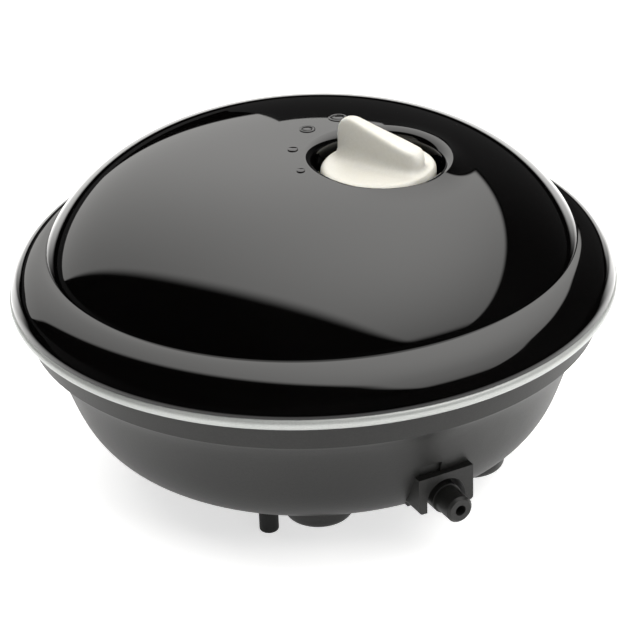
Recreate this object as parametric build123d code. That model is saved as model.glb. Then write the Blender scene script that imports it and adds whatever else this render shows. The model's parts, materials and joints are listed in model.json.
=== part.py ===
"""Aquarium air pump: round two-shell case, vibrating-arm diaphragm pump inside.

Millimetres. Z is up and z = 0 is the floor under the rubber pegs.
The origin is under the middle of the case and the air outlet points along -Y.
"""
import os
from math import cos, radians, sin

from build123d import *

# ---------------------------------------------------------------- driving dimensions
RING_RX = 59.0                     # half width of the case at the trim ring
WALL = 2.0

FLOOR_Z = 7.3                      # underside of the bowl
STEP_Z = 30.93                     # bottom edge of the flange band
FLANGE_Z = 36.65                   # top of the lower shell
RING_TOP_Z = 38.94
FLANGE_R = 54.7                    # inside of the flange and of the ring

DOME_R = 51.65                     # foot of the dome, where it leaves the brim
DOME_Z = 46.6
DOME_H = 19.4

TOWER_XY = (16.7, 31.6)            # legs that take the case screws
TOWER_R = 5.9
TOWER_FOOT_R = 6.4                 # outside the bowl the towers flare upwards
TOWER_FLARE_R = 7.9
TOWER_BOTTOM_Z = 5.3
TOWER_TOP_Z = 26.0
FOOT_XY = (24.1, 24.7)
FOOT_R = 1.87
POST_XY = (30.0, 18.4)             # posts that carry the chassis on rubber

KNOB_X, KNOB_Y = 8.5, -12.3
KNOB_R = 11.0
KNOB_FACE_Z = 63.8
POINTER_DEG = 121.0                # where the tall end of the grip points
RECESS_R = 13.1
RECESS_FLOOR_Z = 59.0
MOUTH_FILLET = 0.4
GRIP_FILLET = 0.8
MARKS = ((177.0, 16.0, 0.8), (142.0, 16.3, 1.0), (109.0, 18.2, 1.55), (84.0, 19.4, 2.0))

NOZZLE_Z = 12.95
NOZZLE_R = 2.65
NOZZLE_TIP_Y = -55.5
NOZZLE_SHANK_R = 3.0               # thicker stretch held in the case wall
NOZZLE_SHOULDER_Y = -50.6
HOOD_Y = -50.5
GLAND_Z = 21.0

PLATE_Z = 11.0                     # chassis plate underside
PLATE_T = 2.0
DECK_Z = PLATE_Z + PLATE_T
DRIVE_Z = 24.0                     # height of the coil, arm and diaphragm axis
PIVOT_X = -28.0

BEAD_R = 0.45                      # round bead each valve flap turns on
BEAD_Z = 28.0
BEAD_OFFSET = 0.3                  # bead axis in front of its seat
VALVES = {"inlet": (-4.3, -12.0, 1), "outlet": (3.6, -14.0, -1)}   # x, seat y, way it opens

CORE_X0, CORE_X1 = 17.0, 39.0
CORE_HALF_Y = 14.0
CORE_HALF_T = 5.0
LEG_HALF = 3.5
YOKE = 5.0

BOARD_Z = 44.0
BOARD_T = 1.6
BOARD_SCREWS = ((-12.0, -20.0), (26.0, 4.0))
FILTER_Y = 30.0


# ---------------------------------------------------------------- small helpers
def corners(x, y):
    """The four mirrored positions of one point."""
    return [(sx * x, sy * y) for sx in (-1, 1) for sy in (-1, 1)]


def rod(r, z0, z1, x=0.0, y=0.0):
    """Upright cylinder between two heights."""
    return Pos(x, y, (z0 + z1) / 2) * Cylinder(r, z1 - z0)


def tube(r_out, r_in, z0, z1, x=0.0, y=0.0):
    return rod(r_out, z0, z1, x, y) - rod(r_in, z0 - 1, z1 + 1, x, y)


def rod_y(r, y0, y1, x=0.0, z=0.0):
    """Cylinder lying along Y between two depths."""
    return Pos(x, (y0 + y1) / 2, z) * Rot(90, 0, 0) * Cylinder(r, y1 - y0)


def rod_x(r, x0, x1, y=0.0, z=0.0):
    """Cylinder lying along X."""
    return Pos((x0 + x1) / 2, y, z) * Rot(0, 90, 0) * Cylinder(r, x1 - x0)


def block(x0, x1, y0, y1, z0, z1):
    size = Box(x1 - x0, y1 - y0, z1 - z0)
    return Pos((x0 + x1) / 2, (y0 + y1) / 2, (z0 + z1) / 2) * size


def turned(*edges):
    """Solid of revolution about Z from edges drawn in the XZ plane."""
    return revolve(make_face(Wire(edges)), Axis.Z)


def run(points):
    """Straight edges through (r, z) points."""
    flat = [(r, 0, z) for r, z in points]
    return [Line(a, b) for a, b in zip(flat, flat[1:])]


def curve(points):
    """One smooth edge through (r, z) points."""
    return [Spline(*[(r, 0, z) for r, z in points])]


def dome_points(foot_r, foot_z, height):
    """Meridian of the dome: steep at its foot, flat over the top."""
    steps = (0.0, 0.12, 0.27, 0.42, 0.57, 0.7, 0.82, 0.91, 0.965, 0.992)
    line = [(foot_r * (1 - s**1.17) ** (1 / 3.45), foot_z + height * s) for s in steps]
    return line + [(0.0, foot_z + height)]


def dome_height(x, y):
    """Height of the outer dome surface over a point."""
    rho = (x * x + y * y) ** 0.5 / DOME_R
    return DOME_Z + DOME_H * (1 - rho**3.45) ** (1 / 1.17)


def pan_screw(x, y, z_seat, length, r, head_r, head_t, up):
    """Screw with a domed head; up says which way its tip points."""
    way = 1 if up else -1
    tip = z_seat + way * length
    top = z_seat - way * head_t
    shank = rod(r, min(z_seat, tip), max(z_seat, tip), x, y)
    head = rod(head_r, min(z_seat, top), max(z_seat, top), x, y)
    rim = head.edges().group_by(Axis.Z)[0 if up else -1]
    head = fillet(rim, head_t * 0.45)
    for turn in (0, 90):
        cut = Pos(x, y, top) * Rot(0, 0, turn) * Box(head_r * 1.1, 0.5, head_t)
        head -= cut
    return head + shank


def save(name, shape):
    if isinstance(shape, list):
        shape = Compound(children=shape)
    export_step(shape, f"parts/{name}.step")


os.makedirs("parts", exist_ok=True)


# ---------------------------------------------------------------- upper shell
brim_out = [(RING_RX, RING_TOP_Z), (57.8, 42.1), (55.9, 44.4), (53.6, 46.0), (DOME_R, DOME_Z)]
brim_in = [(49.6, 45.0), (52.6, 44.0), (55.0, 42.2), (56.6, RING_TOP_Z)]
inner_foot = (49.6, 46.6)

cap = turned(
    *curve(brim_out),
    *curve(dome_points(DOME_R, DOME_Z, DOME_H)),
    *run([(0, DOME_Z + DOME_H), (0, RING_TOP_Z), (RING_RX, RING_TOP_Z)]),
)
hollow = turned(
    *curve(dome_points(*inner_foot, 17.3)),
    *run([(0, 63.9), (0, RING_TOP_Z), (56.6, RING_TOP_Z)]),
    *curve(brim_in[::-1]),
    *run([(49.6, 45.0), inner_foot]),
)
# what is left standing inside the hollow: skirt, bosses and the cup under the knob
hollow -= tube(FLANGE_R - 0.3, FLANGE_R - 1.8, 30, 70)
hollow -= rod(RECESS_R + 1.8, RECESS_FLOOR_Z - 1.6, 80, KNOB_X, KNOB_Y)
for x, y in corners(*TOWER_XY):
    hollow -= rod(3.8, 30, 80, x, y)
for x, y in BOARD_SCREWS:
    hollow -= rod(3.0, BOARD_Z + BOARD_T, 80, x, y)
upper = cap - hollow
upper += tube(FLANGE_R - 0.3, FLANGE_R - 1.8, FLANGE_Z - 1.5, RING_TOP_Z)
for x, y in corners(*TOWER_XY):
    upper += rod(3.8, TOWER_TOP_Z, RING_TOP_Z, x, y)
for turn, reach, r in MARKS:
    x = KNOB_X + reach * cos(radians(turn))
    y = KNOB_Y + reach * sin(radians(turn))
    z = dome_height(x, y)
    upper += rod(r, z - 1.0, z + 0.2, x, y)
    if r > 1.2:
        upper -= tube(r - 0.35, r - 0.8, z, z + 0.5, x, y)
upper -= rod(RECESS_R, RECESS_FLOOR_Z, 80, KNOB_X, KNOB_Y)
upper -= rod(3.9, 50, 80, KNOB_X, KNOB_Y)
for x, y in corners(*TOWER_XY):
    upper -= rod(1.45, TOWER_TOP_Z - 1, 43, x, y)
for x, y in BOARD_SCREWS:
    upper -= rod(0.95, BOARD_Z, 53, x, y)
mouth = [e for e in upper.edges() if e.center().Z > 62 and e.length > 40]
upper = fillet(mouth, MOUTH_FILLET)
save("upper_shell", upper)

# ---------------------------------------------------------------- trim ring
ring = turned(
    *run([(RING_RX - 0.1, RING_TOP_Z), (FLANGE_R, RING_TOP_Z), (FLANGE_R, FLANGE_Z)]),
    *run([(FLANGE_R, FLANGE_Z), (RING_RX - 0.2, FLANGE_Z)]),
    ThreePointArc((RING_RX - 0.2, 0, FLANGE_Z), (RING_RX + 0.35, 0, 37.9),
                  (RING_RX - 0.1, 0, RING_TOP_Z)),
)
save("trim_ring", ring)

# ---------------------------------------------------------------- lower shell
bowl_out = [(54.9, STEP_Z), (53.3, 28.9), (51.5, 25.0), (49.5, 19.1),
            (47.0, 13.3), (43.8, 9.5), (38.2, FLOOR_Z)]
bowl_in = [(37.8, FLOOR_Z + WALL), (42.3, 11.1), (45.2, 14.1), (47.5, 19.3), (49.5, 25.0),
           (51.3, 29.3)]
bowl = turned(
    *run([(0, FLANGE_Z), (56.8, FLANGE_Z), (56.1, 31.3), (55.8, STEP_Z), (54.9, STEP_Z)]),
    *curve(bowl_out),
    *run([(38.2, FLOOR_Z), (0, FLOOR_Z), (0, FLANGE_Z)]),
)
cavity = turned(
    *run([(0, FLANGE_Z + 1), (0, FLOOR_Z + WALL), (37.8, FLOOR_Z + WALL)]),
    *curve(bowl_in),
    *run([(51.3, 29.3), (FLANGE_R, 33.2), (FLANGE_R, FLANGE_Z + 1), (0, FLANGE_Z + 1)]),
)
hood = block(-5.75, 5.75, HOOD_Y, -43.0, NOZZLE_Z - 1.95, NOZZLE_Z + 5.4)
hood = fillet(hood.edges().filter_by(Axis.Y).group_by(Axis.Z)[0], 0.7)
hood -= rod_y(4.1, -60, -40, z=NOZZLE_Z)
hood -= block(-4.1, 4.1, -60, -40, 5, NOZZLE_Z)
lower = bowl + hood
for x, y in corners(*TOWER_XY):
    leg = Cone(TOWER_FOOT_R, TOWER_FLARE_R, 16.0 - TOWER_BOTTOM_Z)
    leg = fillet(leg.edges().group_by(Axis.Z)[0], 1.4)
    lower += Pos(x, y, (16.0 + TOWER_BOTTOM_Z) / 2) * leg
lower -= cavity
for x, y in corners(*TOWER_XY):
    lower += rod(TOWER_R, FLOOR_Z + 1, TOWER_TOP_Z, x, y)
for x, y in corners(*POST_XY):
    lower += rod(1.95, FLOOR_Z + 1, 15.0, x, y)
lower += rod_y(6.0, -44.6, -40.5, z=NOZZLE_Z) & block(-9, 9, -46, -40, 9.5, 30)
lower += rod_y(7.0, 44.5, 53.6, z=GLAND_Z)
lower += tube(8.4, 7.0, FLOOR_Z + 1, 15.6, 0, FILTER_Y)
lower += rod(8.4, 14.4, 15.6, 0, FILTER_Y)

for x, y in corners(*TOWER_XY):
    lower -= rod(3.6, 0, 22.0, x, y)
    lower -= rod(1.7, 20, 30, x, y)
for x, y in corners(*POST_XY):
    lower -= rod(0.85, FLOOR_Z + 1, 16, x, y)
for x, y in corners(*FOOT_XY):
    lower -= rod(1.25, 0, 12, x, y)
lower -= rod_y(NOZZLE_SHANK_R + 0.03, -60, -40, z=NOZZLE_Z)
lower -= rod_y(4.53, 40, 60, z=GLAND_Z)
lower -= rod(7.6, 0, FLOOR_Z + 1.3, 0, FILTER_Y)
lower -= rod(7.0, 0, 14.4, 0, FILTER_Y)
for k in range(-2, 3):
    lower -= block(2.4 * k - 0.6, 2.4 * k + 0.6, FILTER_Y - 4.5, FILTER_Y + 4.5, 13, 17)
lower -= block(-5.0, -0.6, -53, -48.8, NOZZLE_Z + 5.5, NOZZLE_Z + 7.8)   # pocket over the hood
lower -= block(-3.2, 1.6, -57, -53.9, 30.2, 31.05)           # pry slot under the band
save("lower_shell", lower)

# ---------------------------------------------------------------- feet, case screws, gland
feet = []
for x, y in corners(*FOOT_XY):
    peg = rod(FOOT_R, 0, FLOOR_Z, x, y)
    peg = fillet(peg.edges().group_by(Axis.Z)[0], 0.4)
    bulb = rod(2.2, FLOOR_Z + WALL, 11.6, x, y)
    bulb = chamfer(bulb.edges().group_by(Axis.Z)[-1], 0.8)
    feet.append(peg + rod(1.2, FLOOR_Z, 10, x, y) + bulb)
save("rubber_feet", feet)

save("case_screws", [pan_screw(x, y, 22.0, 18.0, 1.4, 2.9, 2.0, True)
                     for x, y in corners(*TOWER_XY)])

gland = rod_y(4.5, 42.8, 57.0, z=GLAND_Z) + rod_y(6.4, 42.8, 44.5, z=GLAND_Z)
gland = gland + rod_y(5.6, 53.6, 54.8, z=GLAND_Z)
gland = chamfer(gland.edges().group_by(Axis.Y)[-1], 1.0)
gland -= rod_y(2.7, 40, 60, z=GLAND_Z)
save("cord_gland", gland)

# ---------------------------------------------------------------- flow knob
disc = rod(KNOB_R, 60.6, KNOB_FACE_Z)
disc = fillet(disc.edges().group_by(Axis.Z)[-1], 0.9)
ridge = [(9.2, 68.1), (9.0, 70.1), (8.0, 71.7), (6.0, 72.6), (3.7, 72.2), (0.9, 71.5),
         (-2.0, 70.9), (-5.0, 70.2), (-7.6, 68.6), (-8.7, 66.8)]
grip_face = make_face(Wire(
    curve(ridge) + run([(-8.7, 66.8), (-9.2, 62.5), (9.3, 62.5), (9.2, 68.1)])))
grip = extrude(grip_face, 2.1, dir=(0, 1, 0), both=True)
for side in (-1, 1):
    wedge = Pos(0, side * 6.35, 68) * Rot(side * 5.0, 0, 0) * Box(50, 9, 30)
    grip -= wedge
ends = Plane(origin=(0, 0, 61)) * extrude(SlotOverall(18.6, 4.2), 14)
grip = grip & ends
knob = disc + grip
base_edges = [e for e in knob.edges()
              if abs(e.center().Z - KNOB_FACE_Z) < 0.02 and e.bounding_box().size.X < 19]
knob = fillet(base_edges, GRIP_FILLET)
knob -= tube(9.6, 5.6, 60, 62.2)
knob += rod(4.4, 59.7, 62.4)
knob = Pos(KNOB_X, KNOB_Y, 0) * Rot(0, 0, POINTER_DEG) * knob
spindle = rod(3.0, 50.5, 62.2) - block(1.5, 5, -5, 5, 57.6, 70)
spindle = Pos(KNOB_X, KNOB_Y, 0) * Rot(0, 0, POINTER_DEG) * spindle
save("flow_knob", knob - spindle)
save("control_spindle", spindle)

# ---------------------------------------------------------------- control and its board
pot = rod(8.2, BOARD_Z + BOARD_T, 51.8, KNOB_X, KNOB_Y)
pot = chamfer(pot.edges().group_by(Axis.Z)[-1], 0.6)
pot += rod(3.6, 51.6, 57.2, KNOB_X, KNOB_Y)
pot += block(KNOB_X - 5, KNOB_X + 5, KNOB_Y - 10.4, KNOB_Y - 6, BOARD_Z + BOARD_T, 48.4)
pot -= rod(3.06, 50.2, 60, KNOB_X, KNOB_Y)
save("control_body", pot)

board = block(-16, 30, -24, 8, BOARD_Z, BOARD_Z + BOARD_T)
board = fillet(board.edges().filter_by(Axis.Z), 2.0)
for x, y in BOARD_SCREWS:
    board -= rod(1.2, 40, 50, x, y)
save("circuit_board", board)
save("board_screws", [pan_screw(x, y, BOARD_Z, 8.0, 0.9, 2.0, 1.4, True)
                      for x, y in BOARD_SCREWS])

top = BOARD_Z + BOARD_T
film_cap = fillet(block(-13, -4, -6, 6, top, top + 10).edges().filter_by(Axis.Z), 1.0)
save("film_capacitor", film_cap)
terminal = block(17.5, 28.5, -9.5, -1.5, top, top + 8)
for x in (20.3, 25.7):
    terminal -= rod(1.9, top + 5, top + 9, x, -5.5)
    terminal -= rod_y(1.5, -12, -6, x, top + 2.6)
save("terminal_block", terminal)
switch = rod(2.4, top + 1.5, top + 6.5, -1, 4.5) - block(-4, 2, 6.0, 9, top, top + 8)
pins = [rod(0.35, top, top + 1.6, -1 + dx, 4.5) for dx in (-1.3, 0, 1.3)]
save("thyristor", switch + pins)
resistor = Pos(10, 2.5, top + 1.6) * Rot(0, 90, 0) * Cylinder(1.3, 6.5)
for x in (5.8, 14.2):
    resistor += rod(0.35, top, top + 1.6, x, 2.5)
    resistor += Pos((x + 10) / 2, 2.5, top + 1.6) * Rot(0, 90, 0) * Cylinder(0.35, 4.55)
save("resistor", resistor)

# ---------------------------------------------------------------- chassis on rubber
plate = block(-41, 41, -22.3, 22.3, PLATE_Z, DECK_Z) & rod(41.4, 0, 30)
plate = fillet(plate.edges().filter_by(Axis.Z), 1.5)
plate -= block(-10.5, 10.5, 20.5, 30, 0, 30)
plate -= block(18.6, 33.6, -9.4, 9.4, 0, 30)
for side in (-1, 1):
    y0, y1 = sorted((side * 10.6, side * 13.9))
    plate += block(19, 38.4, y0, y1, DECK_Z, DRIVE_Z - CORE_HALF_T)
for x, y in corners(*POST_XY):
    plate -= rod(3.05, 0, 30, x, y)
for side in (-1, 1):
    plate -= rod(1.15, 10, DRIVE_Z, 36.5, side * 12.25)
    plate -= rod(1.15, 10, 14, -31.5, side * 5.5)
    plate -= rod(1.0, 10, 14, side * 15.3, -17.0)
save("chassis_plate", plate)

grommets = []
for x, y in corners(*POST_XY):
    bush = rod(4.0, 9.6, 14.7, x, y) - tube(6, 3.0, PLATE_Z, DECK_Z, x, y)
    grommets.append(bush - rod(2.0, 0, 30, x, y))
save("isolator_grommets", grommets)

chassis_screws = []
for x, y in corners(*POST_XY):
    washer = rod(3.8, 15.0, 15.6, x, y)
    chassis_screws.append(washer + pan_screw(x, y, 15.6, 6.8, 0.8, 2.0, 1.4, False))
save("chassis_screws", chassis_screws)

# ---------------------------------------------------------------- coil and core
z0, z1 = DRIVE_Z - CORE_HALF_T, DRIVE_Z + CORE_HALF_T
core = block(CORE_X0, CORE_X1, -CORE_HALF_Y, CORE_HALF_Y, z0, z1)
for side in (-1, 1):
    ya, yb = sorted((side * LEG_HALF, side * 10.5))
    core -= block(CORE_X0 - 1, CORE_X1 - YOKE, ya, yb, z0 - 1, z1 + 1)
    core -= rod(1.3, z0 - 1, z1 + 1, 36.5, side * 12.25)
save("core_laminations", core)

bx0, bx1 = CORE_X0 + 1.0, CORE_X1 - YOKE - 0.2
sleeve = block(bx0, bx1, -LEG_HALF - 1, LEG_HALF + 1, z0 - 1, z1 + 1)
bobbin = sleeve
for x in (bx0, bx1 - 1.0):
    bobbin += block(x, x + 1.0, -9.8, 9.8, DRIVE_Z - 10.4, DRIVE_Z + 10.4)
bobbin = bobbin + block(bx1 - 1.0, bx1 + 3.4, -5, 5, DRIVE_Z + 7.4, DRIVE_Z + 10.4)
bobbin -= block(0, 60, -LEG_HALF - 0.1, LEG_HALF + 0.1, z0 - 0.1, z1 + 0.1)
save("coil_bobbin", bobbin)

winding = block(bx0 + 1.0, bx1 - 1.0, -9.2, 9.2, DRIVE_Z - 10.0, DRIVE_Z + 10.0)
winding = fillet(winding.edges().filter_by(Axis.X), 3.0)
winding -= sleeve
save("coil_winding", winding)

save("core_screws", [pan_screw(36.5, side * 12.25, z1, 17.0, 1.1, 2.2, 1.6, False)
                     for side in (-1, 1)])

leads = []
for side in (-1, 1):
    path = Spline((35.6, side * 2.6, DRIVE_Z + 10.4), (36.0, side * 2.6, 38.0),
                  (30.0, side * 2.0 - 2, 41.5), (27.0, side * 2.0 - 2, BOARD_Z),
                  tangents=((0, 0, 1), (0, 0, 1)))
    start = Plane(origin=path @ 0, z_dir=path % 0)
    leads.append(sweep(start * Circle(0.65), path=path))
save("coil_leads", leads)

# ---------------------------------------------------------------- vibrating arm
bracket = block(-35.5, -23.5, -7.5, 7.5, DECK_Z, 14.2)
bracket += block(-35.5, -34.3, -5, 5, DECK_Z, 31.8)
for z in (16.4, 30.6):
    ear = block(-35.5, PIVOT_X, -4, 4, z, z + 1.2) + rod(4.0, z, z + 1.2, PIVOT_X)
    bracket += ear
bracket -= rod(1.28, 15.5, 33, PIVOT_X)
for side in (-1, 1):
    bracket -= rod(1.3, 12, 15, -31.5, side * 5.5)
save("arm_bracket", bracket)
save("bracket_screws", [pan_screw(-31.5, side * 5.5, 14.2, 4.6, 1.1, 1.9, 1.4, False)
                        for side in (-1, 1)])
pin = rod(1.25, 15.6, 32.6, PIVOT_X) + rod(2.1, 31.9, 32.9, PIVOT_X)
save("pivot_pin", pin)

arm = block(PIVOT_X, 9.5, -1.25, 1.25, DRIVE_Z - 4, DRIVE_Z + 4)
arm += rod(3.4, 17.9, 30.3, PIVOT_X)
arm += block(8.5, 15.2, -5.2, 5.2, DRIVE_Z - 6.2, DRIVE_Z + 6.2)
arm += rod_y(4.2, -2.5, 0, 0, DRIVE_Z)
arm -= block(10.9, 20, -4.0, 4.0, DRIVE_Z - 5.0, DRIVE_Z + 5.0)
arm -= rod(1.32, 10, 40, PIVOT_X)
arm -= rod_y(1.1, -5, 5, 0, DRIVE_Z)
save("swing_arm", arm)
save("arm_magnet", block(11.0, 16.0, -3.95, 3.95, DRIVE_Z - 4.95, DRIVE_Z + 4.95))

# ---------------------------------------------------------------- diaphragm and its screw
cup_line = [(1.05, -2.5), (4.4, -2.5), (4.4, -4.0), (6.4, -6.2), (8.0, -5.6), (9.6, -6.6),
            (9.6, -12.0), (8.65, -12.0), (8.65, -7.4), (7.9, -6.6), (6.3, -7.2),
            (4.0, -5.0), (1.05, -5.0), (1.05, -2.5)]
cup = revolve(make_face(Wire(run(cup_line))), Axis.Z)
diaphragm = Pos(0, 0, DRIVE_Z) * Rot(-90, 0, 0) * cup
save("diaphragm", diaphragm)
hold = rod_y(1.0, -6.6, 2.6, 0, DRIVE_Z) + rod_y(3.0, -5.6, -5.0, 0, DRIVE_Z)
hold += rod_y(2.0, -6.8, -5.6, 0, DRIVE_Z)
hold += rod_y(1.9, 1.25, 2.75, 0, DRIVE_Z)
save("diaphragm_screw", hold)

# ---------------------------------------------------------------- pump head
HX = 13.0
HZ0, HZ1 = DECK_Z, 36.0
head = block(-HX, HX, -14, -12, HZ0, HZ1)
head += rod_y(8.6, -12, -8, 0, DRIVE_Z) - rod_y(7.6, -12, -7, 0, DRIVE_Z)
head += block(-HX, HX, -21.5, -14, HZ0, HZ1)
head -= block(-HX + 1.5, -3.4, -22, -14, HZ0 + 1.5, HZ1 - 1.5)
head -= block(-1.9, HX - 1.5, -22, -14, HZ0 + 1.5, HZ1 - 1.5)
for x in (-HX + 2.6, HX - 2.6):
    for z in (HZ0 + 2.6, HZ1 - 2.6):
        head += rod_y(2.3, -21.5, -13.5, x, z)
        head -= rod_y(0.95, -22, -14.5, x, z)
for side in (-1, 1):
    xa, xb = sorted((side * 12.5, side * 17.8))
    head += block(xa, xb, -19.8, -14.2, DECK_Z, 15.5)
    head -= rod(1.0, 10, 17, side * 15.3, -17.0)
for x, seat, way in VALVES.values():
    for dz in (-1.1, 1.1):
        head -= rod_y(0.8, -15, -11, x, DRIVE_Z - 0.6 + dz)
    bead_y = seat + way * BEAD_OFFSET
    ya, yb = sorted((seat - way * 0.5, seat + way * 1.1))
    for side in (-1, 1):
        xa, xb = sorted((x + side * 1.7, x + side * 2.4))
        head += block(xa, xb, ya, yb, BEAD_Z - 0.9, BEAD_Z + 0.9)
    head -= rod_x(BEAD_R + 0.12, x - 1.7, x + 1.7, bead_y, BEAD_Z)
    head -= rod_x(BEAD_R + 0.03, x - 2.4, x + 2.4, bead_y, BEAD_Z)
save("pump_head", head)

for name, (x, seat, way) in VALVES.items():
    bead_y = seat + way * BEAD_OFFSET
    ya, yb = sorted((seat + way * 0.05, seat + way * 0.5))
    flap = block(x - 1.6, x + 1.6, ya, yb, DRIVE_Z - 2.9, BEAD_Z)
    flap = fillet(flap.edges().filter_by(Axis.Y).group_by(Axis.Z)[0], 0.9)
    flap += rod_x(BEAD_R, x - 2.35, x + 2.35, bead_y, BEAD_Z)
    save(f"{name}_flap", flap)

gasket = block(-HX, HX, -22, -21.5, HZ0, HZ1)
gasket -= block(-HX + 1.5, -3.4, -23, -21, HZ0 + 4.6, HZ1 - 4.6)
gasket -= block(-1.9, HX - 1.5, -23, -21, HZ0 + 4.6, HZ1 - 4.6)
gasket -= rod_y(1.6, -23, -21, 0, 16.6)
cover = block(-HX, HX, -24, -22, HZ0, HZ1)
cover = fillet(cover.edges().filter_by(Axis.Y), 1.5)
cover += rod_y(1.95, -28.5, -23, 0, 16.6)
cover += rod_y(2.6, -27.0, -23, -8.0, 29.0)
cover -= rod_y(1.1, -30, -21, 0, 16.6)
cover -= rod_y(1.6, -30, -21, -8.0, 29.0)
for x in (-HX + 2.6, HX - 2.6):
    for z in (HZ0 + 2.6, HZ1 - 2.6):
        cover -= rod_y(1.2, -25, -21, x, z)
        gasket -= rod_y(1.2, -25, -21, x, z)
save("head_cover", cover)
save("head_gasket", gasket)
head_screws = []
for x in (-HX + 2.6, HX - 2.6):
    for z in (HZ0 + 2.6, HZ1 - 2.6):
        screw = Pos(x, -24.0, z) * Rot(-90, 0, 0) * pan_screw(0, 0, 0, 8.0, 0.9, 1.8, 1.3, True)
        head_screws.append(screw)
save("head_cover_screws", head_screws)
save("head_mount_screws", [pan_screw(side * 15.3, -17.0, 15.5, 4.3, 0.9, 1.8, 1.3, False)
                           for side in (-1, 1)])

# ---------------------------------------------------------------- outlet, tube and filter
nozzle = rod_y(NOZZLE_R, NOZZLE_TIP_Y, -40.5, z=NOZZLE_Z)
nozzle = chamfer(nozzle.edges().group_by(Axis.Y)[0], 0.5)
nozzle += rod_y(NOZZLE_SHANK_R, NOZZLE_SHOULDER_Y, -40.5, z=NOZZLE_Z)
nozzle += rod_y(4.6, -40.5, -39.3, z=NOZZLE_Z)
nozzle -= block(-6, 6, -41, -39, 5, 10.4)                    # flat that stops it turning
nozzle += rod_y(1.95, -39.3, -34.8, z=NOZZLE_Z)
nozzle -= rod_y(1.05, -60, -30, z=NOZZLE_Z)
save("outlet_nozzle", nozzle)

lay = Line((0, -24.2, 16.6), (0, -28.0, 16.6))
bend = Spline((0, -28.0, 16.6), (0, -35.0, NOZZLE_Z), tangents=((0, -1, 0), (0, -1, 0)))
end = Line((0, -35.0, NOZZLE_Z), (0, -39.2, NOZZLE_Z))
hose_path = Wire([lay, bend, end])
mouth_plane = Plane(origin=(0, -24.2, 16.6), z_dir=(0, -1, 0))
hose = sweep(mouth_plane * (Circle(3.0) - Circle(2.0)), path=hose_path)
save("outlet_tube", hose)

save("filter_felt", rod(6.8, FLOOR_Z + 1.35, 13.6, 0, FILTER_Y))
filter_cover = rod(7.4, FLOOR_Z, FLOOR_Z + 1.25, 0, FILTER_Y)
filter_cover = chamfer(filter_cover.edges().group_by(Axis.Z)[0], 0.3)
for k in range(-2, 3):
    half = 4.8 - 0.5 * abs(k)
    filter_cover -= block(2.2 * k - 0.5, 2.2 * k + 0.5, FILTER_Y - half, FILTER_Y + half, 5, 10)
save("filter_cover", filter_cover)
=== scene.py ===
"""Looks for the aquarium air pump: smooth case shells, sculpted knob, plastics and rubber."""
import json
from math import cos, hypot, pi, radians, sin, sqrt

import bmesh
import bpy
from mathutils import Matrix, Vector


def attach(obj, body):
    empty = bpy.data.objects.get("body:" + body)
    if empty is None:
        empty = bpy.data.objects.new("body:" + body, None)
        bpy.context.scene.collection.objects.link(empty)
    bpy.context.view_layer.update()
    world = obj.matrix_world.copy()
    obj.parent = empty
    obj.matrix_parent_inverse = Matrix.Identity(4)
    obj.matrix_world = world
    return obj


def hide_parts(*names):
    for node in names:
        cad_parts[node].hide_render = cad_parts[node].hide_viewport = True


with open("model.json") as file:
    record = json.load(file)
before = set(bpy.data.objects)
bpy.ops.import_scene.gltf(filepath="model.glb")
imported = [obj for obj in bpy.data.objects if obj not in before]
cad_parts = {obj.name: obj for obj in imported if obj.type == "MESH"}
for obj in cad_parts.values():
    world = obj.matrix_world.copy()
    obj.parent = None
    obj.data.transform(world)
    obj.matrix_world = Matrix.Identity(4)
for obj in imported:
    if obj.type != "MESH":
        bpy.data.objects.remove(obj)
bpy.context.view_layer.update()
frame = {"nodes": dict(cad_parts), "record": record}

MM = 0.001
nodes = frame["nodes"]
scene = bpy.context.scene


# ---------------------------------------------------------------- camera
CAMERA_PLACE = Vector((-0.17962, -0.35253, 0.23566))
CAMERA_AIM = Vector((0.0001, -0.00005, 0.02844))
CAMERA_LEAN = radians(-2.3)
CAMERA_LENS, CAMERA_SENSOR = 128.62, 36.0      # millimetres


def set_camera():
    """A long lens from the front left and above, leaning slightly."""
    forward = (CAMERA_AIM - CAMERA_PLACE).normalized()
    level = forward.cross(Vector((0, 0, 1))).normalized()
    above = level.cross(forward)
    right = cos(CAMERA_LEAN) * level + sin(CAMERA_LEAN) * above
    up = -sin(CAMERA_LEAN) * level + cos(CAMERA_LEAN) * above
    data = bpy.data.cameras.new("camera")
    data.lens = CAMERA_LENS
    data.sensor_width = CAMERA_SENSOR
    data.clip_start = 0.02
    data.clip_end = 20.0
    camera = bpy.data.objects.new("camera", data)
    turn = Matrix((right, up, -forward)).transposed().to_4x4()
    camera.matrix_world = Matrix.Translation(CAMERA_PLACE) @ turn
    scene.collection.objects.link(camera)
    scene.camera = camera


set_camera()


# ---------------------------------------------------------------- mesh helpers
def piece(name, bm, body, replaced):
    """A finished piece at the origin that rides on a body and stands for a CAD node."""
    mesh = bpy.data.meshes.new(name)
    bm.to_mesh(mesh)
    bm.free()
    for face in mesh.polygons:
        face.use_smooth = True
    obj = bpy.data.objects.new(name, mesh)
    scene.collection.objects.link(obj)
    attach(obj, body)
    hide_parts(replaced)
    return obj


def bent_grid(round_count, along_count, place, merge=2e-7):
    """A flat grid bent so that its first direction runs round the piece."""
    bm = bmesh.new()
    bmesh.ops.create_grid(bm, x_segments=round_count, y_segments=along_count, size=0.5)
    for vert in bm.verts:
        vert.co = place(vert.co.x + 0.5, vert.co.y + 0.5)
    bmesh.ops.remove_doubles(bm, verts=bm.verts, dist=merge)
    bmesh.ops.recalc_face_normals(bm, faces=bm.faces)
    return bm


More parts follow.
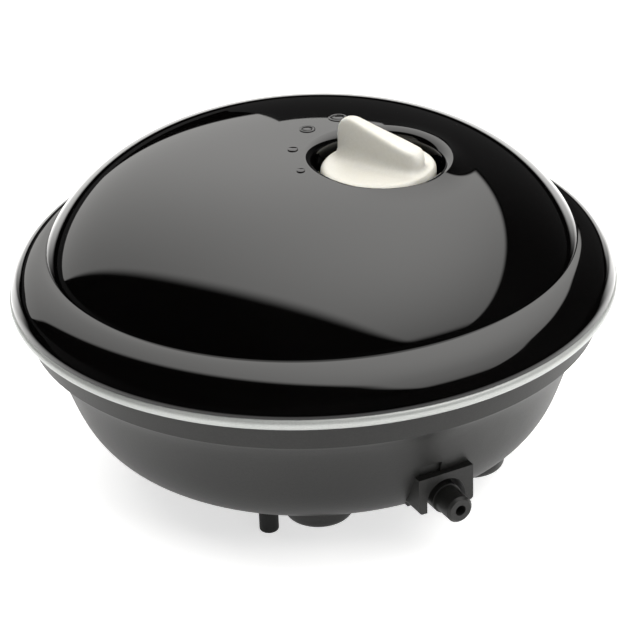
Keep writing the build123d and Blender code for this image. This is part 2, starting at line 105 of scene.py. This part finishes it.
def turned(profile, steps=256):
    """A closed profile of (r, z) millimetres spun about the case's axis."""
    bm = bmesh.new()
    verts = [bm.verts.new((r * MM, 0, z * MM)) for r, z in profile]
    edges = [bm.edges.new((a, b)) for a, b in zip(verts, verts[1:] + verts[:1])]
    bmesh.ops.spin(bm, geom=verts + edges, cent=(0, 0, 0), axis=(0, 0, 1), angle=2 * pi,
                   steps=steps, use_merge=True)
    bmesh.ops.remove_doubles(bm, verts=bm.verts, dist=1e-7)
    bmesh.ops.recalc_face_normals(bm, faces=bm.faces)
    return bm


def through(points, x):
    """Smooth height at x on a line through (x, height) points."""
    if x <= points[0][0]:
        return points[0][1]
    if x >= points[-1][0]:
        return points[-1][1]
    k = max(i for i in range(len(points) - 1) if points[i][0] <= x)
    p1, p2 = points[k], points[k + 1]
    p0 = points[k - 1] if k else p1
    p3 = points[k + 2] if k + 2 < len(points) else p2
    width = p2[0] - p1[0]
    t = (x - p1[0]) / width
    m1 = (p2[1] - p0[1]) / (p2[0] - p0[0]) * width
    m2 = (p3[1] - p1[1]) / (p3[0] - p1[0]) * width
    return ((2 * t**3 - 3 * t**2 + 1) * p1[1] + (t**3 - 2 * t**2 + t) * m1
            + (3 * t**2 - 2 * t**3) * p2[1] + (t**3 - t**2) * m2)


def poured_in(bm, other):
    """Adds another bmesh's shape to this one."""
    mesh = bpy.data.meshes.new("poured")
    other.to_mesh(mesh)
    other.free()
    bm.from_mesh(mesh)
    bpy.data.meshes.remove(mesh)


def auto_smooth(obj, degrees):
    """Smooth shading with creases kept where faces meet sharply."""
    bm = bmesh.new()
    bm.from_mesh(obj.data)
    for edge in bm.edges:
        if len(edge.link_faces) == 2:
            edge.smooth = edge.calc_face_angle(0.0) < radians(degrees)
    bm.to_mesh(obj.data)
    bm.free()


# ---------------------------------------------------------------- upper shell
DOME_R, DOME_Z, DOME_H = 51.65, 46.6, 19.4      # foot of the dome and its rise
DOME_POWER, SHOULDER_POWER = 3.45, 1.17
INNER_R, INNER_H = 49.6, 17.3
KNOB_X, KNOB_Y = 8.5, -12.3
MOUTH_R, WALL_R = 14.1, 12.2       # the knob's recess, at its lip and at its wall
RECESS_Z, RECESS_WALL = 59.0, 1.6
WELL_R = 15.0                      # outside of the recess, under the dome
SPINDLE_R = 3.9
CORNER_R = 0.8
LIP_RISE = 0.95                    # how far the lip stands up on the side away from the top
LIP_SIDE = radians(-42.0)
LIP_REACH = 4.2
RIM_Z = 38.94
RIM_INNER = [(58.9, RIM_Z), (56.6, RIM_Z), (55.0, 42.2), (52.6, 44.0), (49.7, 45.0)]
BRIM = [(51.65, 46.6), (52.6, 46.42), (53.6, 46.0), (54.8, 45.28), (55.9, 44.4), (56.8, 43.45),
        (57.8, 42.1), (58.5, 40.7), (58.85, 39.8), (59.0, RIM_Z)]


def dome_z(x, y, foot, height):
    rho = min(hypot(x, y) / foot, 1.0)
    return DOME_Z + height * (1 - rho**DOME_POWER) ** (1 / SHOULDER_POWER)


def outside_z(x, y):
    """The dome's outer face, which swells up to the knob's lip on its low side."""
    away = hypot(x - KNOB_X, y - KNOB_Y)
    side = ((x - KNOB_X) * cos(LIP_SIDE) + (y - KNOB_Y) * sin(LIP_SIDE)) / away
    swell = max(0.0, side + 0.15) / 1.15
    fade = max(0.0, 1 - max(0.0, away - MOUTH_R) / LIP_REACH)
    return dome_z(x, y, DOME_R, DOME_H) + LIP_RISE * swell**1.3 * fade**2.2


def brim_point(t):
    """A point on the convex brim, from the dome's foot at 0 to its rim at 1."""
    span = [0.0]
    for a, b in zip(BRIM, BRIM[1:]):
        span.append(span[-1] + hypot(b[0] - a[0], b[1] - a[1]))
    at = t * span[-1]
    return (through([(s, p[0]) for s, p in zip(span, BRIM)], at),
            through([(s, p[1]) for s, p in zip(span, BRIM)], at))


def shell_stations():
    """Loops over the whole shell: (share of the knob's centre, radius, how its height is found)."""
    loops = []
    floor_r = WALL_R - CORNER_R
    for k in range(6):                                    # floor of the recess, outwards
        loops.append((1.0, SPINDLE_R + (floor_r - SPINDLE_R) * k / 5, ("flat", RECESS_Z)))
    for k in range(1, 7):                                 # corner between floor and wall
        a = pi / 2 * k / 6
        corner_z = RECESS_Z + CORNER_R * (1 - cos(a))
        loops.append((1.0, floor_r + CORNER_R * sin(a), ("flat", corner_z)))
    for k in range(1, 7):                                 # wall up to the lip
        loops.append((1.0, WALL_R, ("rise", k / 6.0)))
    for k in range(1, 13):                                # rolled lip
        a = pi / 2 * k / 12
        loops.append((1.0, MOUTH_R - (MOUTH_R - WALL_R) * cos(a), ("lip", sin(a))))
    for k in range(1, 113):                               # dome, dense at its lip and its foot
        t = 0.5 * (1 - cos(pi * k / 112))
        loops.append((1 - t, MOUTH_R + (DOME_R - MOUTH_R) * t, ("dome", None)))
    for k in range(1, 33):                                # brim
        r, z = brim_point(k / 32)
        loops.append((0.0, r, ("flat", z)))
    for r, z in RIM_INNER:                                # under the rim and back inside
        loops.append((0.0, r, ("flat", z)))
    for k in range(24, -1, -1):                           # inside of the dome
        t = sin(pi / 2 * k / 24)
        loops.append((1 - t, WELL_R + (INNER_R - WELL_R) * t, ("inner", None)))
    loops.append((1.0, WELL_R, ("flat", RECESS_Z - RECESS_WALL)))
    loops.append((1.0, SPINDLE_R, ("flat", RECESS_Z - RECESS_WALL)))
    loops.append((1.0, SPINDLE_R, ("flat", RECESS_Z)))
    return loops


LOOPS = shell_stations()


def shell_point(u, w):
    share, radius, (kind, value) = LOOPS[round(w * (len(LOOPS) - 1))]
    turn = 2 * pi * u
    x = KNOB_X * share + radius * cos(turn)
    y = KNOB_Y * share + radius * sin(turn)
    lip = outside_z(KNOB_X + MOUTH_R * cos(turn), KNOB_Y + MOUTH_R * sin(turn))
    roll = MOUTH_R - WALL_R
    if kind == "flat":
        z = value
    elif kind == "rise":
        z = RECESS_Z + CORNER_R + (lip - roll - RECESS_Z - CORNER_R) * value
    elif kind == "lip":
        z = lip - roll + roll * value
    elif kind == "dome":
        z = outside_z(x, y)
    else:
        z = dome_z(x, y, INNER_R, INNER_H)
    return Vector((x, y, z)) * MM


# buttons and rings moulded on the dome, as (share of the radius, height) from the edge inwards
BUTTON = [(1.0, -0.3), (1.0, 0.10), (0.95, 0.17), (0.86, 0.20), (0.25, 0.22), (0.0, 0.23)]
RINGED = [(1.0, -0.3), (1.0, 0.10), (0.95, 0.17), (0.86, 0.20), (0.74, 0.20), (0.68, 0.16),
          (0.64, 0.03), (0.58, 0.02), (0.54, 0.12), (0.48, 0.17), (0.25, 0.19), (0.0, 0.19)]
# each mark's bearing and distance from the knob's centre, radius and form
MARKS = [(177.0, 16.0, 0.8, BUTTON), (142.0, 16.3, 1.0, BUTTON), (109.0, 18.2, 1.55, RINGED),
         (84.0, 19.4, 2.0, RINGED)]


def moulded_mark(bearing, distance, radius, form):
    """A low round mark that follows the dome under it."""
    x = KNOB_X + distance * cos(radians(bearing))
    y = KNOB_Y + distance * sin(radians(bearing))

    def place(u, w):
        share, lift = form[round(w * (len(form) - 1))]
        px = x + radius * share * cos(2 * pi * u)
        py = y + radius * share * sin(2 * pi * u)
        return Vector((px, py, outside_z(px, py) + lift)) * MM

    return bent_grid(40, len(form) - 1, place)


cover_bm = bent_grid(240, len(LOOPS) - 1, shell_point)
for row in MARKS:
    poured_in(cover_bm, moulded_mark(*row))
cover = piece("dome_cover", cover_bm, "case", "upper_shell")
auto_smooth(cover, 32)

# ---------------------------------------------------------------- trim ring
BAND_R, BAND_Z = 58.45, 37.8       # middle of the band's rounded face
BAND_OUT, BAND_UP = 0.9, 1.15
BAND_INNER_R, BAND_BOTTOM = 54.7, 36.65

band_line = [(BAND_INNER_R, BAND_BOTTOM)]
for k in range(17):
    a = pi * (k / 16 - 0.5)
    band_line.append((BAND_R + BAND_OUT * cos(a), BAND_Z + BAND_UP * sin(a)))
band_line.append((BAND_INNER_R, RIM_Z))
band = piece("silver_band", turned(band_line, 300), "case", "trim_ring")
auto_smooth(band, 40)

# ---------------------------------------------------------------- flow knob
POINTER = radians(121.0)           # bearing of the grip's high end
FACE_Z = 63.8
DISC_R, DISC_ROUND = 11.0, 1.2
CROWN, CROWN_R = 0.12, 10.0
# underside of the disc and its socket for the spindle, (r, z)
UNDER_DISC = [(10.95, 61.4), (10.8, 60.8), (10.4, 60.6), (9.7, 60.6), (9.6, 62.2), (5.6, 62.2),
              (4.5, 62.0), (4.4, 59.7), (3.05, 59.7)]
FIN_FRONT, FIN_BACK = -9.4, 8.6
RIDGE = [(-9.4, 66.6), (-9.1, 67.5), (-8.3, 68.1), (-7.2, 68.4), (-5.3, 69.0), (-2.2, 70.0),
         (0.9, 71.0), (3.4, 71.9), (5.2, 72.4), (6.9, 72.0), (8.0, 70.9), (8.6, 69.2)]
RISE = [(0.0, -0.08), (0.06, 0.0), (0.2, 0.05), (0.34, 0.15), (0.6, 0.6), (0.72, 0.80),
        (0.86, 0.955), (1.0, 1.0)]
ROUNDED_FROM = 0.72                # where the sides start to close over the ridge
GRIP_FOOT = 2.6                    # radius of the hollow sweep from the grip into the disc
FIN_HEIGHT = 6.5                   # usual height that the sweep is measured against
FOOT_BACK, FOOT_FRONT = 1.9, 1.2   # how far the sweep runs out at each end
FOOT_REACH = 10.7                  # the sweep stops at the disc's rim
FIN_WAIST, FIN_WEDGE = 2.3, 0.08   # half thickness, and its growth towards the front end


def knob_turned(x, y, z):
    return Vector((KNOB_X + x * cos(POINTER) - y * sin(POINTER),
                   KNOB_Y + x * sin(POINTER) + y * cos(POINTER), z)) * MM


def knob_disc():
    """The round foot of the knob, slightly crowned, with a hollow underside."""
    line = [(3.05, 62.2), (0.0, 62.2), (0.0, FACE_Z + CROWN)]
    line += [(r, FACE_Z + CROWN * (1 - (r / CROWN_R) ** 2)) for r in (2, 4, 6, 8, 9, 9.6)]
    line += [(DISC_R - DISC_ROUND + DISC_ROUND * sin(a), FACE_Z - DISC_ROUND + DISC_ROUND * cos(a))
             for a in [pi / 2 * k / 10 for k in range(11)]]
    line += UNDER_DISC
    line.append(line[0])

    def place(u, w):
        r, z = line[round(w * (len(line) - 1))]
        return knob_turned(r * cos(2 * pi * u), r * sin(2 * pi * u), z)

    return bent_grid(128, len(line) - 1, place)


def boxed(value, power):
    """A sine or cosine pushed outwards, so that a round loop turns into a rounded box."""
    return (1 if value >= 0 else -1) * abs(value) ** power


def grip_point(u, w):
    """Stacked loops: foot swept into the disc, slightly hollow sides, rounded ridge."""
    share = through(RISE, w)
    depth = max(0.0, 1 - max(0.0, share * FIN_HEIGHT) / GRIP_FOOT)
    flare = 1 - sqrt(max(0.0, 1 - depth**2))
    top = max(0.0, (w - ROUNDED_FROM) / (1 - ROUNDED_FROM))
    close = sqrt(max(0.0, 1 - top**2))
    cx, sy = cos(2 * pi * u), sin(2 * pi * u)
    middle = (FIN_FRONT + FIN_BACK) / 2
    foot = FOOT_BACK if cx >= 0 else FOOT_FRONT
    half_x = (FIN_BACK - FIN_FRONT) / 2 - 0.8 * (1 - close) + foot * flare
    x = middle + half_x * boxed(cx, 0.52)
    waist = FIN_WAIST - FIN_WEDGE * (x - middle) - 0.4 * min(w / 0.7, 1.0)
    y = (waist * close + GRIP_FOOT * flare) * boxed(sy, 0.5)
    reach = hypot(x, y)
    if reach > FOOT_REACH:
        x, y = x * FOOT_REACH / reach, y * FOOT_REACH / reach
    crest = through(RIDGE, max(FIN_FRONT, min(FIN_BACK, x)))
    return knob_turned(x, y, FACE_Z + (crest - FACE_Z) * share)


def softened(bm, cell, rounds):
    """Both pieces made one skin, with the corner between them worn round."""
    mesh = bpy.data.meshes.new("rough_dial")
    bm.to_mesh(mesh)
    bm.free()
    rough = bpy.data.objects.new("rough_dial", mesh)
    scene.collection.objects.link(rough)
    remesh = rough.modifiers.new("one_skin", "REMESH")
    remesh.mode = "VOXEL"
    remesh.voxel_size = cell
    remesh.use_smooth_shade = True
    graph = bpy.context.evaluated_depsgraph_get()
    skin = bpy.data.meshes.new_from_object(rough.evaluated_get(graph))
    bpy.data.objects.remove(rough)
    bpy.data.meshes.remove(mesh)
    out = bmesh.new()
    out.from_mesh(skin)
    bpy.data.meshes.remove(skin)
    for _ in range(rounds):
        bmesh.ops.smooth_vert(out, verts=out.verts, factor=0.5, use_axis_x=True, use_axis_y=True,
                              use_axis_z=True)
    bmesh.ops.recalc_face_normals(out, faces=out.faces)
    return out


knob_bm = knob_disc()
poured_in(knob_bm, bent_grid(128, 60, grip_point, merge=2e-6))
knob = piece("flow_dial", softened(knob_bm, 0.00022, 8), "knob", "flow_knob")


# ---------------------------------------------------------------- shader groups
def new_group(name, ins, outs):
    group = bpy.data.node_groups.new(name, "ShaderNodeTree")
    for label, kind, value in ins:
        socket = group.interface.new_socket(label, in_out="INPUT", socket_type=kind)
        socket.default_value = value
    for label, kind in outs:
        group.interface.new_socket(label, in_out="OUTPUT", socket_type=kind)
    start = group.nodes.new("NodeGroupInput")
    end = group.nodes.new("NodeGroupOutput")
    return group, start, end


def add(tree, kind, **values):
    node = tree.nodes.new(kind)
    for key, value in values.items():
        setattr(node, key, value)
    return node


def link(tree, a, b):
    tree.links.new(a, b)


EFFECT_OUTPUTS = [("Color", "NodeSocketColor"), ("Roughness", "NodeSocketFloat"),
                  ("Height", "NodeSocketFloat")]


def build_moulded_grain():
    """Spark-eroded mould texture: fine grain, broad tone drift and roughness drift."""
    group, start, end = new_group("moulded_grain", [
        ("Grain per metre", "NodeSocketFloat", 2500.0),
        ("Dark", "NodeSocketColor", (0.02, 0.02, 0.02, 1)),
        ("Light", "NodeSocketColor", (0.05, 0.05, 0.05, 1)),
        ("Rough low", "NodeSocketFloat", 0.4),
        ("Rough high", "NodeSocketFloat", 0.6),
    ], EFFECT_OUTPUTS)
    place = add(group, "ShaderNodeTexCoord")
    grain = add(group, "ShaderNodeTexNoise")
    grain.inputs["Detail"].default_value = 3.0
    grain.inputs["Roughness"].default_value = 0.6
    drift = add(group, "ShaderNodeTexNoise")
    drift.inputs["Scale"].default_value = 45.0
    drift.inputs["Detail"].default_value = 4.0
    link(group, place.outputs["Object"], grain.inputs["Vector"])
    link(group, place.outputs["Object"], drift.inputs["Vector"])
    link(group, start.outputs["Grain per metre"], grain.inputs["Scale"])
    both = add(group, "ShaderNodeMath", operation="MULTIPLY")
    link(group, grain.outputs["Fac"], both.inputs[0])
    link(group, drift.outputs["Fac"], both.inputs[1])
    spread = add(group, "ShaderNodeMapRange")
    spread.inputs["From Min"].default_value = 0.1
    spread.inputs["From Max"].default_value = 0.42
    link(group, both.outputs[0], spread.inputs["Value"])
    tone = add(group, "ShaderNodeMix", data_type="RGBA")
    link(group, spread.outputs["Result"], tone.inputs["Factor"])
    link(group, start.outputs["Dark"], tone.inputs["A"])
    link(group, start.outputs["Light"], tone.inputs["B"])
    rough = add(group, "ShaderNodeMapRange")
    link(group, drift.outputs["Fac"], rough.inputs["Value"])
    link(group, start.outputs["Rough low"], rough.inputs["To Min"])
    link(group, start.outputs["Rough high"], rough.inputs["To Max"])
    link(group, tone.outputs["Result"], end.inputs["Color"])
    link(group, rough.outputs["Result"], end.inputs["Roughness"])
    link(group, grain.outputs["Fac"], end.inputs["Height"])
    return group


def build_polish_marks():
    """Hairline swirls and a few dust specks on polished plastic."""
    group, start, end = new_group("polish_marks", [
        ("Clean", "NodeSocketFloat", 0.03),
        ("Dusty", "NodeSocketFloat", 0.12),
        ("Base", "NodeSocketColor", (0.004, 0.004, 0.005, 1)),
        ("Dust", "NodeSocketColor", (0.012, 0.012, 0.012, 1)),
    ], EFFECT_OUTPUTS)
    place = add(group, "ShaderNodeTexCoord")
    cloud = add(group, "ShaderNodeTexNoise")
    cloud.inputs["Scale"].default_value = 28.0
    cloud.inputs["Detail"].default_value = 6.0
    specks = add(group, "ShaderNodeTexVoronoi")
    specks.inputs["Scale"].default_value = 330.0
    wave = add(group, "ShaderNodeTexNoise")
    wave.inputs["Scale"].default_value = 60.0
    wave.inputs["Detail"].default_value = 1.0
    for node in (cloud, specks, wave):
        link(group, place.outputs["Object"], node.inputs["Vector"])
    dot = add(group, "ShaderNodeMapRange")
    dot.inputs["From Min"].default_value = 0.05
    dot.inputs["From Max"].default_value = 0.02
    link(group, specks.outputs["Distance"], dot.inputs["Value"])
    veil = add(group, "ShaderNodeMapRange")
    veil.inputs["From Min"].default_value = 0.45
    veil.inputs["From Max"].default_value = 0.75
    link(group, cloud.outputs["Fac"], veil.inputs["Value"])
    sparse = add(group, "ShaderNodeMath", operation="MULTIPLY")
    link(group, dot.outputs["Result"], sparse.inputs[0])
    link(group, veil.outputs["Result"], sparse.inputs[1])
    mask = add(group, "ShaderNodeMath", operation="MAXIMUM")
    faint = add(group, "ShaderNodeMath", operation="MULTIPLY")
    faint.inputs[1].default_value = 0.12
    link(group, veil.outputs["Result"], faint.inputs[0])
    link(group, sparse.outputs[0], mask.inputs[0])
    link(group, faint.outputs[0], mask.inputs[1])
    rough = add(group, "ShaderNodeMapRange")
    link(group, mask.outputs[0], rough.inputs["Value"])
    link(group, start.outputs["Clean"], rough.inputs["To Min"])
    link(group, start.outputs["Dusty"], rough.inputs["To Max"])
    tone = add(group, "ShaderNodeMix", data_type="RGBA")
    link(group, mask.outputs[0], tone.inputs["Factor"])
    link(group, start.outputs["Base"], tone.inputs["A"])
    link(group, start.outputs["Dust"], tone.inputs["B"])
    link(group, tone.outputs["Result"], end.inputs["Color"])
    link(group, rough.outputs["Result"], end.inputs["Roughness"])
    link(group, wave.outputs["Fac"], end.inputs["Height"])
    return group


MOULDED_GRAIN = build_moulded_grain()
POLISH_MARKS = build_polish_marks()


def tuned(material, values):
    """The same material with these sockets of its Principled shader set."""
    shader = material.node_tree.nodes["Principled BSDF"]
    for label, value in values.items():
        shader.inputs[label].default_value = value
    return material


def finish(name, group, values, bump, distance):
    """One material: a shared effect group feeding a Principled shader with its own values."""
    material = bpy.data.materials.new(name)
    material.use_nodes = True
    tree = material.node_tree
    shader = tree.nodes["Principled BSDF"]
    effect = add(tree, "ShaderNodeGroup", node_tree=group)
    for label, value in values.items():
        effect.inputs[label].default_value = value
    relief = add(tree, "ShaderNodeBump")
    relief.inputs["Strength"].default_value = bump
    relief.inputs["Distance"].default_value = distance
    link(tree, effect.outputs["Height"], relief.inputs["Height"])
    link(tree, effect.outputs["Color"], shader.inputs["Base Color"])
    link(tree, effect.outputs["Roughness"], shader.inputs["Roughness"])
    link(tree, relief.outputs["Normal"], shader.inputs["Normal"])
    return material


def grained(name, dark, light, rough, grain, bump, distance=0.00005):
    """Moulded grain between two tones and two roughnesses."""
    values = {"Grain per metre": grain, "Dark": (*dark, 1), "Light": (*light, 1),
              "Rough low": rough[0], "Rough high": rough[1]}
    return finish(name, MOULDED_GRAIN, values, bump, distance)


def polished_black():
    tones = {"Clean": 0.03, "Dusty": 0.12, "Base": (0.0009, 0.0008, 0.0008, 1),
             "Dust": (0.006, 0.006, 0.006, 1)}
    return tuned(finish("polished_black", POLISH_MARKS, tones, 0.015, 0.0001), {"IOR": 1.5})


def satin_silver():
    paint = grained("satin_silver", (0.30, 0.31, 0.30), (0.38, 0.39, 0.38), (0.30, 0.42),
                    3500.0, 0.1)
    return tuned(paint, {"Metallic": 0.35, "IOR": 1.5})


def eroded_black():
    plastic = grained("eroded_black", (0.005, 0.005, 0.0047), (0.012, 0.012, 0.0113), (0.38, 0.5),
                      2600.0, 0.4)
    return tuned(plastic, {"IOR": 1.5, "Specular IOR Level": 0.28})


def cream_plastic():
    plastic = grained("cream_plastic", (0.50, 0.487, 0.44), (0.56, 0.548, 0.50), (0.36, 0.47),
                      1800.0, 0.05)
    return tuned(plastic, {"Subsurface Weight": 0.25, "Subsurface Radius": (0.002, 0.0016, 0.001)})


def peg_rubber():
    rubber = grained("peg_rubber", (0.004, 0.004, 0.004), (0.010, 0.010, 0.010), (0.6, 0.8), 900.0,
                     0.3, 0.00008)
    return tuned(rubber, {"Specular IOR Level": 0.3})


def shade(colour, factor):
    return tuple(min(1.0, c * factor) for c in colour)


# roughness range, grain per metre and bump of each class of hidden material
CLASSES = {"rubber": ((0.6, 0.8), 900.0, 0.3), "brushed_steel": ((0.25, 0.42), 4000.0, 0.12),
           "matte_plastic": ((0.42, 0.58), 2400.0, 0.3),
           "gloss_plastic": ((0.12, 0.25), 1500.0, 0.1), "fabric": ((0.85, 0.98), 1400.0, 0.9)}


def inner_finish(entry):
    """The finish of a slot inside the case, from its class and colour in the record."""
    colour = tuple(entry["base_color"][:3])
    made = grained(entry["slot"] + "_finish", shade(colour, 0.8), shade(colour, 1.1),
                   *CLASSES[entry["class"]])
    if entry["class"] == "brushed_steel":
        tuned(made, {"Metallic": 1.0})
    return made


eroded, pegs = eroded_black(), peg_rubber()
FINISHES = {"upper_shell": polished_black(), "trim_ring": satin_silver(), "lower_shell": eroded,
            "nozzle": eroded, "filter_cover": eroded, "knob": cream_plastic(),
            "foot_rubber": pegs, "gland_rubber": pegs}
for entry in frame["record"]["materials"]:
    if entry["slot"] not in FINISHES:
        FINISHES[entry["slot"]] = inner_finish(entry)

slot_of = {row["node"]: row["material_slot"] for row in frame["record"]["subparts"]}
for name, obj in nodes.items():
    obj.data.materials.clear()
    obj.data.materials.append(FINISHES[slot_of[name]])
for obj, slot in ((cover, "upper_shell"), (band, "trim_ring"), (knob, "knob")):
    obj.data.materials.append(FINISHES[slot])


# ---------------------------------------------------------------- studio
FLOOR = 3.0
H = 1.5                            # height of the softbox over the floor
PAPER_NEAR, PAPER_FAR, PAPER_GLOW = 0.15, 0.40, 0.62   # where the gloss stops seeing the paper
SWEEP_NEAR, SWEEP_FAR, SWEEP_SHARE = 0.40, 0.70, 0.6   # the same straight on from the camera
BEHIND = (0.45, 0.89)              # the way straight on from the camera
FILL_FRONT, FILL_BACK = 2.0, 0.3   # light on dull surfaces from the camera's side and from behind
ROOM_FRONT, ROOM_BACK = 0.015, 0.05            # what the gloss sees of the dark room
# outline of the softbox's cloth, in heights H: open to the left, with a slanting far side
CLOTH = [(-9.0, 18.0), (-4.2, -2.2), (1.66, -2.2), (1.66, 2.4), (1.15, 2.4), (3.3, 8.2),
         (7.2, 18.0)]
LAMP_AT, LAMP_SPREAD = (0.32, -0.10), 1.05     # the lamp behind the cloth, in heights H
LAMP_PEAK, CLOTH_LEVEL = 2.6, 1.25


def flat_panel(name, corners, material):
    bm = bmesh.new()
    bm.faces.new([bm.verts.new(c) for c in corners])
    mesh = bpy.data.meshes.new(name)
    bm.to_mesh(mesh)
    bm.free()
    panel = bpy.data.objects.new(name, mesh)
    panel.data.materials.append(material)
    scene.collection.objects.link(panel)
    return panel


def maths(tree, operation, *values):
    """A Math node whose inputs are numbers or other nodes' outputs."""
    node = add(tree, "ShaderNodeMath", operation=operation)
    for socket, value in zip(node.inputs, values):
        if isinstance(value, (int, float)):
            socket.default_value = value
        else:
            link(tree, value, socket)
    return node.outputs[0]


def weighted(tree, x, x_share, y, y_share):
    """x and y added up with their shares."""
    return maths(tree, "ADD", maths(tree, "MULTIPLY", x, x_share),
                 maths(tree, "MULTIPLY", y, y_share))


def ramp(tree, value, low, high, start=0.0, end=1.0):
    node = add(tree, "ShaderNodeMapRange", interpolation_type="SMOOTHSTEP")
    link(tree, value, node.inputs["Value"])
    ends = {"From Min": low, "From Max": high, "To Min": start, "To Max": end}
    for label, number in ends.items():
        node.inputs[label].default_value = number
    return node.outputs["Result"]


def split_coordinate(tree, output):
    coord = add(tree, "ShaderNodeTexCoord")
    split = add(tree, "ShaderNodeSeparateXYZ")
    link(tree, coord.outputs[output], split.inputs[0])
    return split.outputs["X"], split.outputs["Y"]


def paper_in_reach(tree):
    """How much of the paper the gloss sees: all of it near by, and some straight on."""
    x, y = split_coordinate(tree, "Object")
    away = maths(tree, "SQRT", maths(tree, "ADD", maths(tree, "MULTIPLY", x, x),
                                     maths(tree, "MULTIPLY", y, y)))
    near = ramp(tree, away, PAPER_NEAR, PAPER_FAR, 1.0, 0.0)
    along = maths(tree, "DIVIDE", weighted(tree, x, BEHIND[0], y, BEHIND[1]), away)
    onward = maths(tree, "MULTIPLY", ramp(tree, along, 0.6, 0.85, 0.0, SWEEP_SHARE),
                   ramp(tree, away, SWEEP_NEAR, SWEEP_FAR, 1.0, 0.0))
    return maths(tree, "MAXIMUM", near, onward)


def paper():
    """White paper under its own light, out of reach of the gloss further off."""
    material = bpy.data.materials.new("studio_paper")
    material.use_nodes = True
    tree = material.node_tree
    shader = tree.nodes["Principled BSDF"]
    fibre = add(tree, "ShaderNodeTexNoise")
    fibre.inputs["Scale"].default_value = 30.0
    tone = add(tree, "ShaderNodeMix", data_type="RGBA")
    tone.inputs["A"].default_value = (0.86, 0.86, 0.86, 1)
    tone.inputs["B"].default_value = (0.90, 0.90, 0.90, 1)
    link(tree, fibre.outputs["Fac"], tone.inputs["Factor"])
    link(tree, tone.outputs["Result"], shader.inputs["Base Color"])
    shader.inputs["Roughness"].default_value = 0.9
    shader.inputs["Specular IOR Level"].default_value = 0.1
    ray = add(tree, "ShaderNodeLightPath")
    unglossed = maths(tree, "SUBTRACT", 1.0, ray.outputs["Is Glossy Ray"])
    kept = maths(tree, "MAXIMUM", paper_in_reach(tree), unglossed)
    shader.inputs["Emission Color"].default_value = (1, 1, 1, 1)
    link(tree, maths(tree, "MULTIPLY", kept, PAPER_GLOW), shader.inputs["Emission Strength"])
    dark = add(tree, "ShaderNodeBsdfDiffuse")
    dark.inputs["Color"].default_value = (0, 0, 0, 1)
    mix = add(tree, "ShaderNodeMixShader")
    link(tree, kept, mix.inputs[0])
    link(tree, dark.outputs[0], mix.inputs[1])
    link(tree, shader.outputs[0], mix.inputs[2])
    link(tree, mix.outputs[0], tree.nodes["Material Output"].inputs["Surface"])
    return material


def softbox_cloth():
    """Diffuser lit from one spot behind it, dimmer towards its rim."""
    material = bpy.data.materials.new("softbox_glow")
    material.use_nodes = True
    tree = material.node_tree
    tree.nodes.clear()
    x, y = split_coordinate(tree, "Object")
    dx = maths(tree, "SUBTRACT", x, LAMP_AT[0] * H)
    dy = maths(tree, "SUBTRACT", y, LAMP_AT[1] * H)
    square = maths(tree, "ADD", maths(tree, "MULTIPLY", dx, dx), maths(tree, "MULTIPLY", dy, dy))
    spread = maths(tree, "DIVIDE", square, (LAMP_SPREAD * H) ** 2)
    spot = maths(tree, "DIVIDE", LAMP_PEAK, maths(tree, "ADD", spread, 1.0))
    level = maths(tree, "ADD", spot, CLOTH_LEVEL)
    # the left rim slants: it lies on x = -0.45 H - 0.5 y
    rim = maths(tree, "ADD", maths(tree, "ADD", x, 0.45 * H), maths(tree, "MULTIPLY", y, 0.5))
    soft_left = ramp(tree, rim, -0.16 * H, 0.02 * H)
    soft_front = ramp(tree, y, -2.1 * H, -1.55 * H)
    soft_right = ramp(tree, x, 1.50 * H, 1.62 * H, 1.0, 0.0)
    total = maths(tree, "MULTIPLY", maths(tree, "MULTIPLY", level, soft_left),
                  maths(tree, "MULTIPLY", soft_front, soft_right))
    lamp = add(tree, "ShaderNodeEmission")
    lamp.inputs["Color"].default_value = (1.0, 0.99, 0.97, 1)
    link(tree, total, lamp.inputs["Strength"])
    end = add(tree, "ShaderNodeOutputMaterial")
    link(tree, lamp.outputs[0], end.inputs["Surface"])
    return material


def studio_room():
    """White behind the pump, soft fill on dull surfaces, and a dark room for the gloss."""
    world = bpy.data.worlds.new("studio")
    scene.world = world
    world.use_nodes = True
    tree = world.node_tree
    sky = tree.nodes["Background"]
    sky.inputs["Color"].default_value = (1, 1, 1, 1)
    ray = add(tree, "ShaderNodeLightPath")
    x, y = split_coordinate(tree, "Generated")
    onward = weighted(tree, x, BEHIND[0], y, BEHIND[1])
    unglossed = maths(tree, "SUBTRACT", 1.0, ray.outputs["Is Glossy Ray"])
    fill = maths(tree, "MULTIPLY", unglossed, ramp(tree, onward, -1.0, 0.4, FILL_FRONT, FILL_BACK))
    seen = maths(tree, "MAXIMUM", fill, ray.outputs["Is Camera Ray"])
    room = ramp(tree, y, 0.0, 0.7, ROOM_FRONT, ROOM_BACK)
    link(tree, maths(tree, "MAXIMUM", seen, room), sky.inputs["Strength"])


flat_panel("paper_floor", [(-FLOOR, -FLOOR, 0), (FLOOR, -FLOOR, 0), (FLOOR, FLOOR, 0),
                           (-FLOOR, FLOOR, 0)], paper())
soft = flat_panel("softbox_cloth", [(x * H, y * H, H) for x, y in CLOTH], softbox_cloth())
soft.visible_camera = False
studio_room()

scene.view_settings.view_transform = "Standard"
scene.view_settings.look = "None"
scene.view_settings.exposure = 0.0
